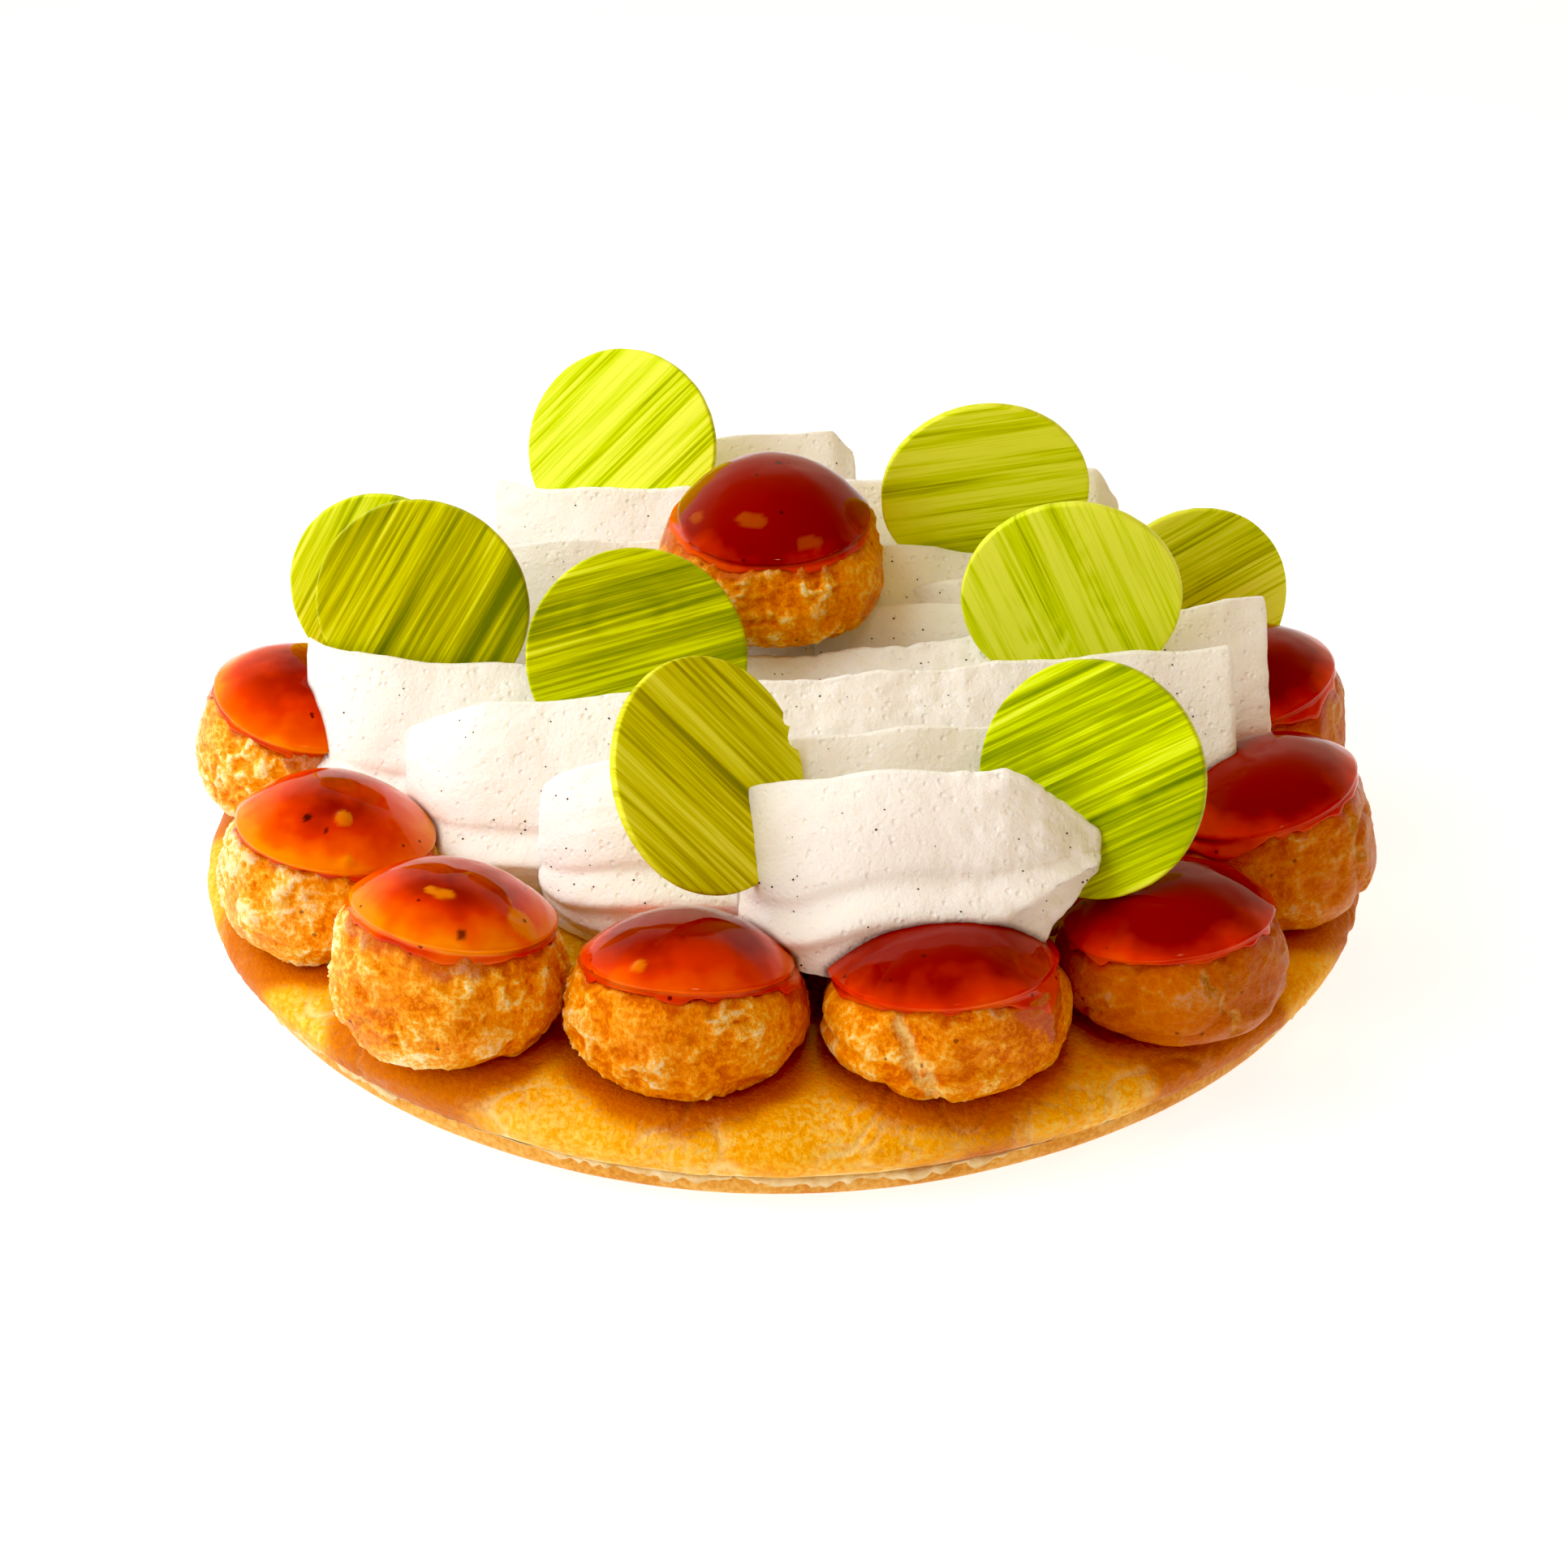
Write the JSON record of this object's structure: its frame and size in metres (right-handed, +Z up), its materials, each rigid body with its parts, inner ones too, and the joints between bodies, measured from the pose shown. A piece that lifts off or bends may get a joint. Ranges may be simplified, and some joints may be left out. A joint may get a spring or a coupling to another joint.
{
  "type": "saint-honore cake",
  "caption": "Round layered pastry cake with a ring of caramel-topped choux puffs, piped cream strokes and upright green chocolate discs.",
  "frame": {"origin": "centre of the base's underside, where the cake rests", "axes": "+Z up, the side shown in the picture faces -Y, +X to its right"},
  "size_m": [0.2052, 0.202, 0.0798],
  "materials": {
    "shortcrust": "baked, matt",
    "puff_pastry": "baked, matt, finely cracked",
    "choux": "baked, matt, craggy",
    "caramel": "set sugar, glossy",
    "cream": "whipped, satin",
    "chocolate": "brushed streaks, satin"
  },
  "bodies": {
    "root": {"base_lower": "shortcrust", "base_upper": "puff_pastry", "cream_bed": "cream", "puff_01": "choux", "puff_02": "choux", "puff_03": "choux", "puff_04": "choux", "puff_05": "choux", "puff_06": "choux", "puff_07": "choux", "puff_08": "choux", "puff_09": "choux", "puff_10": "choux", "puff_11": "choux", "puff_12": "choux", "puff_13": "choux", "puff_centre": "choux", "caramel_01": "caramel", "caramel_02": "caramel", "caramel_03": "caramel", "caramel_04": "caramel", "caramel_05": "caramel", "caramel_06": "caramel", "caramel_07": "caramel", "caramel_08": "caramel", "caramel_09": "caramel", "caramel_10": "caramel", "caramel_11": "caramel", "caramel_12": "caramel", "caramel_13": "caramel", "caramel_centre": "caramel", "disc_1": "chocolate", "disc_2": "chocolate", "disc_3": "chocolate", "disc_4": "chocolate", "disc_5": "chocolate", "disc_6": "chocolate", "disc_7": "chocolate", "disc_8": "chocolate", "disc_9": "chocolate", "cream_1": "cream", "cream_2": "cream", "cream_3": "cream", "cream_4": "cream", "cream_5": "cream", "cream_6": "cream", "cream_7": "cream", "cream_8": "cream", "cream_9": "cream", "cream_10": "cream"}
  },
  "joints": []
}
